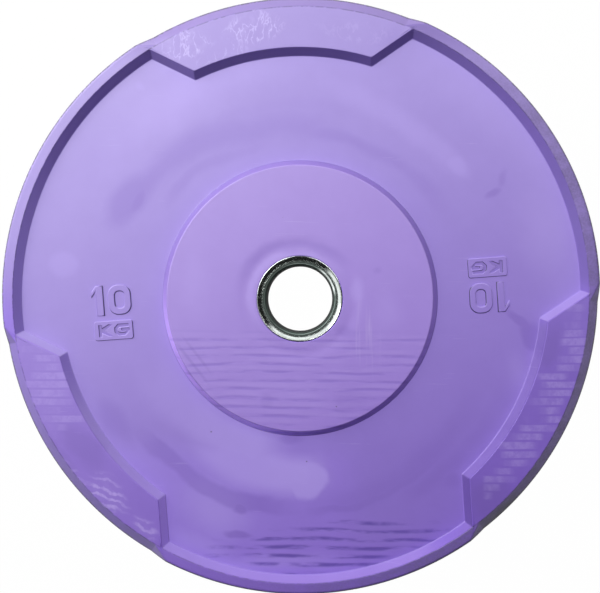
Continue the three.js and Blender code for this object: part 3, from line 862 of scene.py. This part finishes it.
def dish_rubber_material():
    """The web, the hub and the marks: smears and press ripples, with painted light and shade in them, on the
    hub's wall and foot and on the marks.
    """
    surface = RubberSurface("moulded_rubber_dish")
    times, plus, ease, wave = surface.times, surface.plus, surface.ease, surface.wave
    math_node, oval, tint, paint = surface.math, surface.oval, surface.tint, surface.paint
    level, x, y, depth, radius = surface.level, surface.x, surface.y, surface.depth, surface.radius
    facing_x, facing_y, facing_z = surface.facing
    ragged = surface.ragged
    from_foot = times(math_node("ARCTAN2", times(x, -1), times(y, -1)), 180 / math.pi)
    bend_x, bend_y, _ = surface.parts(surface.bends)
    web = times(ease(depth, 0.0155, 0.0168), surface.off_land)
    on_hub = times(ease(depth, 0.0172, 0.02), ease(radius, 0.106, 0.105))
    hub_wall = times(surface.wall, ease(radius, 0.096, 0.098), ease(radius, 0.108, 0.107))
    soft_edge = times(surface.minus(surface.noise(level, 13.0, 2.0), 0.5), 0.6)

    def arcs(table):
        masks = []
        for start, end, half_width, core, strengths in table.values():
            near_foot = abs(start[0] + end[0]) > 180
            shift = -math.copysign(180, start[0]) if near_foot else 0
            angle = plus(from_foot if near_foot else surface.clock, times(bend_y, 900))
            first = start[0] + shift
            last = end[0] + shift
            end_fade = (last - first) * ARC_END_SHARE
            middle = ease(angle, first, last, start[1] * MILLIMETRE, end[1] * MILLIMETRE)
            off = surface.apart(plus(radius, bend_x), middle)
            off = plus(times(off, 1 / (half_width * MILLIMETRE)), soft_edge)
            starts = ease(angle, first - end_fade, first + end_fade)
            ends = ease(angle, last + end_fade, last - end_fade)
            strength = ease(angle, first, last, *strengths)
            masks.append(times(ease(off, ARC_END, core), strength, starts, ends))
        return surface.most(0.0, *masks)

    # Hub, with painted light and shade on its wall and painted shade in the crease at its foot
    tint((1.16, 1.12, 1.07), on_hub)
    facing_low = ease(facing_y, 0.2, -0.3)
    low_left = times(facing_low, ease(facing_x, 0.3, -0.3))
    low_left_foot = times(low_left, ease(facing_y, -0.72, -0.93))
    # Painted light on the hub's wall where it faces down and down to the left, painted shade where it faces
    # up
    tint((1.3, 1.3, 1.2), hub_wall, facing_low)
    tint((1.68, 1.72, 1.52), hub_wall, low_left)
    tint((1.46, 1.56, 1.52), hub_wall, low_left_foot)
    tint((0.86, 0.84, 0.9), hub_wall, ease(facing_y, -0.1, 0.5))
    # Painted shade in the crease at the hub's foot, less where the wall faces down to the left
    crease_shade = times(ease(depth, 0.017, 0.01715), ease(depth, 0.0178, 0.0173))
    crease_shade = times(crease_shade, ease(radius, 0.107, 0.106), ease(low_left, 0.0, 0.8, 1.0, 0.3))
    paint(CREASE_SHADE, 0.35, crease_shade)

    # Smears mixed with painted light and shade, over a web that pales a little towards the foot on the left
    tint((1.08, 1.06, 1.1), web, ease(y, -0.1, -0.13), ease(x, 0.06, 0.02))
    flat = surface.most(web, surface.on_land)
    # Pale smears together with painted light, then dark smears together with painted shade
    pale_smear_and_light = surface.most(surface.ovals(PALE_OVALS, soft_edge, surface.bent), arcs(PALE_ARCS))
    paint(PALE_SMEAR_AND_LIGHT, 0.55, pale_smear_and_light, flat)
    dark_smear_and_shade = surface.most(surface.ovals(DARK_OVALS, soft_edge, surface.bent), arcs(DARK_ARCS))
    paint(DARK_SMEAR_AND_SHADE, 0.66, dark_smear_and_shade, flat)

    # Press ripples: thin level lines that fade in and out, and broader streaks at the foot of the web. Their
    # grooves carry painted shade as well as bumps, and the strips between the thin lines a painted highlight
    phase = plus(y, times(surface.drift, 0.012))
    ripples = wave(phase, RIPPLE_SPACING)
    fade = ease(surface.streaky(level, 0, (30, 130, 1), 3.0, 0.6), 0.38, 0.6)
    line_field = times(on_hub, ease(y, -0.02, -0.034), fade)
    lines = times(math_node("POWER", ease(ripples, -1.0, 1.0), 4.0), line_field)
    strips = math_node("POWER", ease(ripples, 1.0, -1.0), 2.0)
    # Painted shade in the ripple grooves and a painted highlight on the strips between them
    paint(PRESS_LINE_SHADE, 0.38, lines)
    paint(PRESS_STRIP_HIGHLIGHT, 0.12, strips, line_field)
    slant_place = surface.parts(surface.stretched(level, 52))[1]
    slant = math_node("POWER", ease(wave(slant_place, SLANT_SPACING), -1.0, 1.0), 5.0)
    slant_field = times(oval(level, ragged, (-79, -50), (11, 26), 28, 0.4), on_hub)
    paint(SLANT_LINE, 0.25, slant, slant_field)
    wide_lines = math_node("POWER", ease(wave(phase, STREAK_SPACING), -1.0, 1.0), 1.6)
    foot = times(oval(level, ragged, (30, -190), (84, 20), 4, 0.7), web)
    streaks = times(wide_lines, foot, fade)
    # Painted shade in the broader streaks
    paint(FOOT_STREAK_SHADE, 1.0, streaks)
    upright = ease(surface.streaky(level, 0, (300, 16, 1), 2.0, 0.5), 0.5, 0.66)
    paint(UPRIGHT_STREAK, 0.35, upright, oval(level, ragged, (50, -30), (13, 36), 4, 0.3))

    # Marks: painted shade on their inner and lower sides, a painted highlight on their upper and outer ones,
    # and painted shade on the letters' floors
    steep = ease(math_node("ABSOLUTE", facing_z), 0.97, 0.82)
    on_mark = times(ease(radius, 0.112, 0.114), ease(radius, 0.172, 0.17))
    mark_side = times(steep, web, on_mark)
    inward = times(facing_x, ease(x, -0.02, 0.02, 1.0, -1.0))
    away = surface.minus(times(inward, 0.7), times(facing_y, 0.8))
    paint(MARK_SIDE_SHADE, 0.98, mark_side, ease(away, -0.14, 0.12))
    letter_floor = times(ease(depth, 0.01706, 0.01714), ease(depth, 0.01735, 0.01726), on_mark)
    paint(LETTER_FLOOR_SHADE, 0.36, letter_floor)
    paint(MARK_SIDE_HIGHLIGHT, 0.35, mark_side, ease(away, -0.1, -0.6))

    return surface.finish(0.0, plus(times(lines, -0.00006), times(streaks, -0.0001)))


def rim_rubber_material():
    """The rim and its tabs: scuffs in level rows, chalky strokes, grimy bevels with painted shade, and walls
    with painted light and shade.
    """
    surface = RubberSurface("moulded_rubber_rim")
    times, plus, ease, noise = surface.times, surface.plus, surface.ease, surface.noise
    ovals, streaky, tint, paint = surface.ovals, surface.streaky, surface.tint, surface.paint
    level, x, y, depth, radius = surface.level, surface.x, surface.y, surface.depth, surface.radius
    facing_x, facing_y, facing_z = surface.facing
    ragged = surface.ragged
    bent = surface.bent
    rim_wall = surface.wall
    on_tab = surface.on_land
    low_tab = times(on_tab, ease(y, 0.06, -0.02))
    edge_band = ease(radius, 0.2158, 0.2168)

    # Tabs, with painted shade on the lower two, then painted light and shade on the walls by the way they
    # face:
    # lighter where they face up, darker where they face down
    # Painted shade: the two lower tabs darker, and the lower right one more
    tint((0.89, 0.78, 0.98), low_tab)
    tint((0.9, 0.89, 0.95), low_tab, ease(x, -0.02, 0.02))
    tint((0.95, 0.95, 0.95), on_tab, ease(y, 0.1, 0.13))
    # Painted light on walls that face up and painted shade on walls that face down
    upward = times(rim_wall, ease(facing_y, 0.2, 0.5))
    tint((1.34, 1.52, 1.1), upward, surface.most(ease(x, 0.115, 0.085), ease(y, -0.055, -0.035)))
    downward = ease(facing_y, -0.2, -0.65)
    tint((0.56, 0.5, 0.66), rim_wall, downward, ease(facing_x, -0.45, -0.15, 0.45, 1.0))
    # Painted light and shade on some walls by the way they face and where they stand
    for sideways, heights, colour in WALL_TINTS.values():
        tint(colour, rim_wall, times(ease(facing_x, *sideways), ease(y, *heights)))
    # Painted highlight along the foot of the walls that face up
    paint(FOOT_HIGHLIGHT_LINE, 0.22, rim_wall, ease(depth, 0.0182, 0.0176), ease(facing_y, 0.0, 0.3))
    paint(DARK_SMUDGE, 0.66, ovals(TAB_SMUDGE_OVALS, ragged, bent), surface.above_floor)

    # Scuffs on the side tabs lie in level rows with thin gaps, and each row starts and ends at its own place
    row = times(plus(y, times(surface.drift, 0.005)), 1 / (RIPPLE_SPACING * MILLIMETRE))
    row_number = surface.math("FLOOR", row)
    in_row = surface.apart(surface.minus(row, row_number), 0.5)
    row_height = times(plus(row_number, 0.5), RIPPLE_SPACING * MILLIMETRE)
    row_place = surface.add("CombineXYZ", {0: x, 1: row_height, 2: 0.0})
    row_edge = times(surface.minus(streaky(row_place, 0, (45, 190, 1), 3.0), 0.5), 3.2)
    gap = ease(plus(in_row, times(ragged, 0.12)), 0.33, 0.45, 1.0, 0.0)
    brushing = ease(streaky(level, 12, (190, 150, 1), 4.0, 0.65), 0.32, 0.62, 0.45, 1.15)
    rows = times(ovals(SCUFF_OVALS, row_edge, row_place), gap, brushing)
    swirl = noise(level, 85.0, 2.0, 0.5)
    squiggle = surface.wave(plus(y, times(x, 0.35), times(swirl, 0.012)), SQUIGGLE_SPACING)
    squiggle = times(ease(squiggle, -0.2, 0.9, 0.15, 1.0), brushing)
    squiggles = times(ovals(SQUIGGLE_OVALS, ragged, bent), squiggle)
    crumple = streaky(bent, -8, (110, 52, 1), 3.0, 0.6)
    strokes = ease(surface.apart(crumple, 0.5), 0.035, 0.0)
    dust = ease(noise(level, 160.0, 4.0, 0.7), 0.45, 0.75)
    strokes = plus(times(strokes, 0.75), times(dust, 0.25))
    chalk = times(ovals(CHALK_OVALS, ragged, bent), strokes)

    # Painted shade on the top bevel, grime and painted shade on the edge band, painted shadow on the lower
    # right bevel, a darker outer edge, and the thin dark line where each of them starts
    # Painted shade on the edge band at the top
    tint((0.6, 0.5, 0.72), ease(radius, 0.216, 0.2168), ease(y, 0.17, 0.2))
    tint((0.94, 0.84, 1.1), edge_band, ease(x, -0.1, -0.14), ease(y, 0.02, -0.02))
    cloudy = ease(streaky(level, 30, (48, 90, 60), 4.0, 0.65), 0.3, 0.62, 0.55, 1.0)
    pepper = noise(level, 620.0, 2.0, 0.6)
    # Grime and painted shade on the edge band, growing towards the right and the bottom
    grime_and_shade = times(edge_band, cloudy, ease(x, -0.12, 0.14, 0.02, 0.9), ease(y, 0.12, 0.2, 1.0, 0.12))
    grime_and_shade = times(grime_and_shade, ease(pepper, 0.35, 0.65, 0.72, 1.0))
    paint(GRIME_AND_SHADE, 1.0, grime_and_shade)
    # Painted shadow on the lower right bevel
    paint(LOW_RIGHT_BEVEL_SHADOW, 0.85, surface.oval(level, ragged, (158, -166), (42, 13), 44, 0.2), edge_band)
    rim_edge = times(ease(radius, 0.223, 0.2242), ease(pepper, 0.38, 0.56, 0.2, 1.0))
    paint(OUTER_EDGE, 0.85, rim_edge, ease(facing_z, 0.05, 0.35, 0.12, 1.0))
    off_line = surface.apart(radius, 0.2163)
    bevel_line = times(ease(off_line, 0.00065, 0.00025), ease(depth, 0.0262, 0.0268))
    paint(BEVEL_LINE, 0.5, bevel_line, ease(noise(level, 190.0, 3.0, 0.6), 0.38, 0.58))

    scuff = times(surface.most(rows, squiggles, chalk), on_tab)
    paint(SCUFF, 0.6, scuff)
    paint(CHALK, 0.3, chalk, on_tab)
    return surface.finish(plus(times(scuff, 0.15), times(grime_and_shade, 0.12)), 0.0)


def steel_material(name, tint, dark, smooth, rough, pits, dull_spots=1.0, metallic=1.0, highlight_edge=None):
    """Turned steel: grooves that run round the bore, cloudy plating, dark spots, small pits, and painted
    highlights by a given edge.
    """
    material = new_material(name)
    nodes = Nodes(material.node_tree)
    times, plus, ease, mix, noise = nodes.times, nodes.plus, nodes.ease, nodes.mix, nodes.noise
    level, x, _, depth, radius, clock = nodes.face_places()
    groove_place = nodes.add("CombineXYZ", {0: radius, 1: depth, 2: times(clock, 0.00006)})
    grooves = noise(groove_place, 2600.0, 2.0, 0.6)
    wide_grooves = noise(groove_place, 700.0, 2.0, 0.5)
    clouds = noise(level, 90.0, 4.0, 0.6)
    spots = noise(level, 420.0, 3.0, 0.7)
    grain = noise(level, 1500.0, 2.0, 0.7)
    spot_share = times(ease(spots, 0.58, 0.68), pits)
    colour = mix(times(ease(clouds, 0.4, 0.66), 0.45), tint, dark)
    colour = mix(times(spot_share, dull_spots), colour, DULL_SPOT)
    colour = mix(ease(grain, 0.35, 0.7, 0.0, 0.3), colour, dark)
    roughness = plus(ease(clouds, 0.3, 0.7, smooth, rough), times(spot_share, 0.35))
    if highlight_edge:
        off_edge = nodes.apart(radius, highlight_edge * MILLIMETRE)
        # Painted highlight on the edge, weaker on the left, and a painted highlight streak up to the right
        edge_highlight = times(ease(off_edge, 0.00032, 0.00008), ease(clouds, 0.3, 0.5, 0.5, 1.0))
        colour = mix(times(edge_highlight, ease(x, -0.02, -0.002, 0.25, 1.0)), colour, EDGE_HIGHLIGHT)
        streak = ease(nodes.apart(clock, STREAK_HIGHLIGHT_CLOCK), 30, 14)
        streak = times(streak, ease(off_edge, 0.00085, 0.00045), ease(clouds, 0.3, 0.5, 0.6, 1.0))
        colour = mix(streak, colour, STREAK_HIGHLIGHT)
        inside = ease(depth, 0.0201, 0.0198)
        colour = mix(inside, colour, BORE_SHADE)
        roughness = plus(roughness, times(inside, 0.4))
    relief = plus(times(grooves, 0.000003), times(wide_grooves, 0.000006), times(grain, 0.000008))
    relief = plus(relief, times(spot_share, -0.000012))
    inputs = {"Base Color": colour, "Metallic": metallic, "Roughness": roughness}
    shader = nodes.add("BsdfPrincipled", {**inputs, "Normal": nodes.bumped(relief)})
    nodes.add("OutputMaterial", {"Surface": shader})
    return material


# Colours of the steel, and of the highlights and shade painted on it
BRIGHT_PLATING = (0.93, 0.97, 0.95, 1)
DULL_PLATING = (0.6, 0.66, 0.63, 1)
SLEEVE_PLATING = (0.04, 0.058, 0.05, 1)
SLEEVE_DARK = (0.012, 0.018, 0.015, 1)
BARE_STEEL = (0.5, 0.5, 0.5, 1)
BARE_STEEL_DARK = (0.24, 0.24, 0.24, 1)
DULL_SPOT = (0.05, 0.06, 0.05, 1)
EDGE_HIGHLIGHT = (0.28, 0.34, 0.32, 1)
STREAK_HIGHLIGHT = (0.86, 0.92, 0.9, 1)
STREAK_HIGHLIGHT_CLOCK = 58
BORE_SHADE = (0.004, 0.005, 0.005, 1)

dish_rubber = dish_rubber_material()
rim_rubber = rim_rubber_material()
plated_steel = steel_material("plated_steel", BRIGHT_PLATING, DULL_PLATING, 0.07, 0.16, 0.9, dull_spots=0.12)
sleeve_steel = steel_material(
    "sleeve_steel", SLEEVE_PLATING, SLEEVE_DARK, 0.55, 0.7, 0.6, metallic=0.15, highlight_edge=SLEEVE_CHAMFER_RADIUS
)
anchor_steel = steel_material("anchor_steel", BARE_STEEL, BARE_STEEL_DARK, 0.4, 0.6, 0.9)

# The plate's pieces

moulding_shapes = [moulding_skin(), *weight_marks()]
moulding = mesh_piece("rubber_moulding", moulding_shapes, dish_rubber, rim_material=rim_rubber)
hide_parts("rubber_body")


def collar_profile():
    mouth_radius = COLLAR_RADIUS - COLLAR_LIP_WIDTH
    flare_foot = COLLAR_FOOT_HEIGHT + COLLAR_FOOT_LAND
    flare_rise = HALF_THICKNESS - COLLAR_LIP_ROUND - flare_foot
    flare = []
    for step in range(COLLAR_FLARE_STEPS + 1):
        share = step / COLLAR_FLARE_STEPS
        radius = COLLAR_FOOT_RADIUS + (mouth_radius - COLLAR_FOOT_RADIUS) * share
        flare.append((radius, flare_foot + flare_rise * share + COLLAR_FLARE_BOW * math.sin(math.pi * share)))
    corners = [(COLLAR_FOOT_RADIUS, COLLAR_FOOT_HEIGHT), *flare]
    corners += [(mouth_radius, HALF_THICKNESS), (COLLAR_RADIUS, HALF_THICKNESS)]
    corners += [(COLLAR_RADIUS, COLLAR_SKIRT_HEIGHT), (COLLAR_SKIRT_RADIUS, COLLAR_SKIRT_HEIGHT)]
    corners += [(COLLAR_SKIRT_RADIUS, COLLAR_FOOT_HEIGHT)]
    flare_rounds = [COLLAR_LAND_ROUND, *[0] * (COLLAR_FLARE_STEPS - 1), COLLAR_EDGE_ROUND]
    lip_rounds = [COLLAR_LIP_ROUND] * 2
    rounds = [COLLAR_FOOT_ROUND, *flare_rounds, *lip_rounds, COLLAR_EDGE_ROUND, COLLAR_EDGE_ROUND, 0]
    return rounded_path(corners, rounds, steps=5, closed=True)


def sleeve_profile():
    shoulder = SLEEVE_HALF_LENGTH - SLEEVE_CHAMFER
    corners = [(SLEEVE_BORE_RADIUS, -shoulder), (SLEEVE_BORE_RADIUS, shoulder)]
    corners += [(SLEEVE_CHAMFER_RADIUS, SLEEVE_HALF_LENGTH), (SLEEVE_RADIUS, SLEEVE_HALF_LENGTH)]
    corners += [(SLEEVE_RADIUS, -SLEEVE_HALF_LENGTH), (SLEEVE_CHAMFER_RADIUS, -SLEEVE_HALF_LENGTH)]
    rounds = [SLEEVE_MOUTH_ROUND] * 2 + [SLEEVE_EDGE_ROUND] * 4
    return rounded_path(corners, rounds, steps=3, closed=True)


front_collar_shape = lathe(collar_profile())
front_collar = mesh_piece("front_collar_turned", [front_collar_shape], plated_steel)
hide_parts("front_collar")
rear_collar_shape = turned(front_collar_shape, TO_REAR)
rear_collar = mesh_piece("rear_collar_turned", [rear_collar_shape], plated_steel)
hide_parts("rear_collar")
sleeve = mesh_piece("bore_sleeve_turned", [lathe(sleeve_profile())], sleeve_steel)
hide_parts("bore_sleeve")

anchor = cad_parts["anchor_disc"]
anchor.data.materials.clear()
anchor.data.materials.append(anchor_steel)

# Floor: pale for the light that bounces off it, nearly white to the camera and in reflections

FLOOR_SIZE = 30.0
FLOOR_GLOW = 0.985
FLOOR_DARK = (0.78, 0.78, 0.78, 1)
FLOOR_PALE = (0.82, 0.82, 0.82, 1)
WHITE = (1, 1, 1, 1)


def floor_material():
    material = new_material("pale_floor")
    nodes = Nodes(material.node_tree)
    tone = nodes.noise(nodes.add("TexCoord", output=3), 3.0, 3.0)
    colour = nodes.mix(nodes.ease(tone, 0.3, 0.7), FLOOR_DARK, FLOOR_PALE)
    plain = nodes.add("BsdfDiffuse", {"Color": colour})
    glow = nodes.add("Emission", {"Color": WHITE, "Strength": 1.0})
    seen = nodes.add("MixShader", {0: FLOOR_GLOW, 1: plain, 2: glow})
    rays = nodes.add("LightPath").node.outputs
    shown = nodes.most(rays["Is Camera Ray"], rays["Is Glossy Ray"], rays["Is Transmission Ray"])
    nodes.add("OutputMaterial", {"Surface": nodes.add("MixShader", {0: shown, 1: plain, 2: seen})})
    return material


def plain_floor():
    half = FLOOR_SIZE / 2
    height = -HALF_THICKNESS * MILLIMETRE
    mesh = bpy.data.meshes.new("floor")
    corners = [(-half, -half, height), (half, -half, height), (half, half, height), (-half, half, height)]
    mesh.from_pydata(corners, [], [(0, 1, 2, 3)])
    mesh.materials.append(floor_material())
    floor = new_object("floor", mesh)


plain_floor()


# Lights

LAMP_REACH = 1.3
LAMP_SIZE = 0.8
WINDOW_DIRECTION = (-0.64, 0.77, 0.0)
WINDOW_COLOUR = (0.97, 1.0, 0.99, 1)
ROOM_GLOW = 0.015


def window_light(name, azimuth, elevation, power, shadow=False):
    """A square lamp that faces the middle of the plate, at an azimuth from +X and a height in degrees."""
    turn = math.radians(azimuth)
    rise = math.radians(elevation)
    flat_reach = LAMP_REACH * math.cos(rise)
    place = Vector((flat_reach * math.cos(turn), flat_reach * math.sin(turn), LAMP_REACH * math.sin(rise)))
    lamp = bpy.data.lights.new(name, "AREA")
    lamp.shape = "SQUARE"
    lamp.size = LAMP_SIZE
    lamp.energy = power
    lamp.use_shadow = shadow
    holder = new_object(name, lamp)
    holder.location = place
    holder.rotation_euler = (-place).to_track_quat("-Z", "Y").to_euler()
    holder.visible_camera = False


# The photograph shows no cast shadow at the foot of the rim's wall or the hub's, so the windows cast none
window_light("window", 125, 47, 13.8)
window_light("low window", 150, 32, 6.0)
window_light("right window", 45, 47, 7.2)
window_light("left", 180, 62, 1.6, shadow=True)


def soft_world():
    """A dark room, white to the camera, that steel sees with a wide bright band low on the window side."""
    world = bpy.data.worlds.new("room")
    world.use_nodes = True
    bpy.context.scene.world = world
    nodes = Nodes(world.node_tree)
    direction = nodes.add("TexCoord")
    inputs = {0: direction, 1: WINDOW_DIRECTION}
    towards_window = nodes.add("VectorMath", inputs, output=1, operation="DOT_PRODUCT")
    low_band = nodes.ease(nodes.parts(direction)[2], 0.55, 0.25)
    window_side = nodes.times(nodes.ease(towards_window, -0.12, 0.16), low_band)
    rays = nodes.add("LightPath").node.outputs
    seen = nodes.times(rays["Is Glossy Ray"], window_side)
    on_camera = rays["Is Camera Ray"]
    strength = nodes.most(nodes.plus(nodes.times(seen, 1 - ROOM_GLOW), ROOM_GLOW), on_camera)
    inputs = {"Color": nodes.mix(on_camera, WINDOW_COLOUR, WHITE), "Strength": strength}
    nodes.add("OutputWorld", {"Surface": nodes.add("Background", inputs)})


soft_world()

# Camera: the photograph's place, tilt, lens and framing, worked out from the plate's own circles

CAMERA_HEIGHT = 837.0
CAMERA_FOOT = (9.1, 4.1)
CAMERA_TILT_X = 2.97
CAMERA_TILT_Y = -1.07
PLATE_TURN = -4.1
SENSOR_WIDTH = 36.0
PICTURE_WIDTH = 600
PICTURE_HEIGHT = 593
FOCAL_PIXELS = 1079.0
VANISHING_X = 291.6
VANISHING_Y = 349.5


def photo_camera():
    data = bpy.data.cameras.new("camera")
    data.sensor_width = SENSOR_WIDTH
    data.lens = SENSOR_WIDTH * FOCAL_PIXELS / PICTURE_WIDTH
    data.shift_x = (PICTURE_WIDTH / 2 - VANISHING_X) / PICTURE_WIDTH
    data.shift_y = (VANISHING_Y - PICTURE_HEIGHT / 2) / PICTURE_WIDTH
    data.clip_start = 0.01
    camera = new_object("camera", data)
    turn = Matrix.Rotation(math.radians(PLATE_TURN), 3, "Z")
    tilt_x = Matrix.Rotation(math.radians(CAMERA_TILT_X), 3, "X")
    tilt_y = Matrix.Rotation(math.radians(CAMERA_TILT_Y), 3, "Y")
    looking = turn @ (tilt_y @ tilt_x).transposed()
    foot = turn @ Vector((*CAMERA_FOOT, 0))
    place = (foot + Vector((0, 0, CAMERA_HEIGHT))) * MILLIMETRE
    camera.matrix_world = Matrix.Translation(place) @ looking.to_4x4()
    bpy.context.scene.camera = camera


photo_camera()

bpy.context.scene.view_settings.view_transform = "Standard"
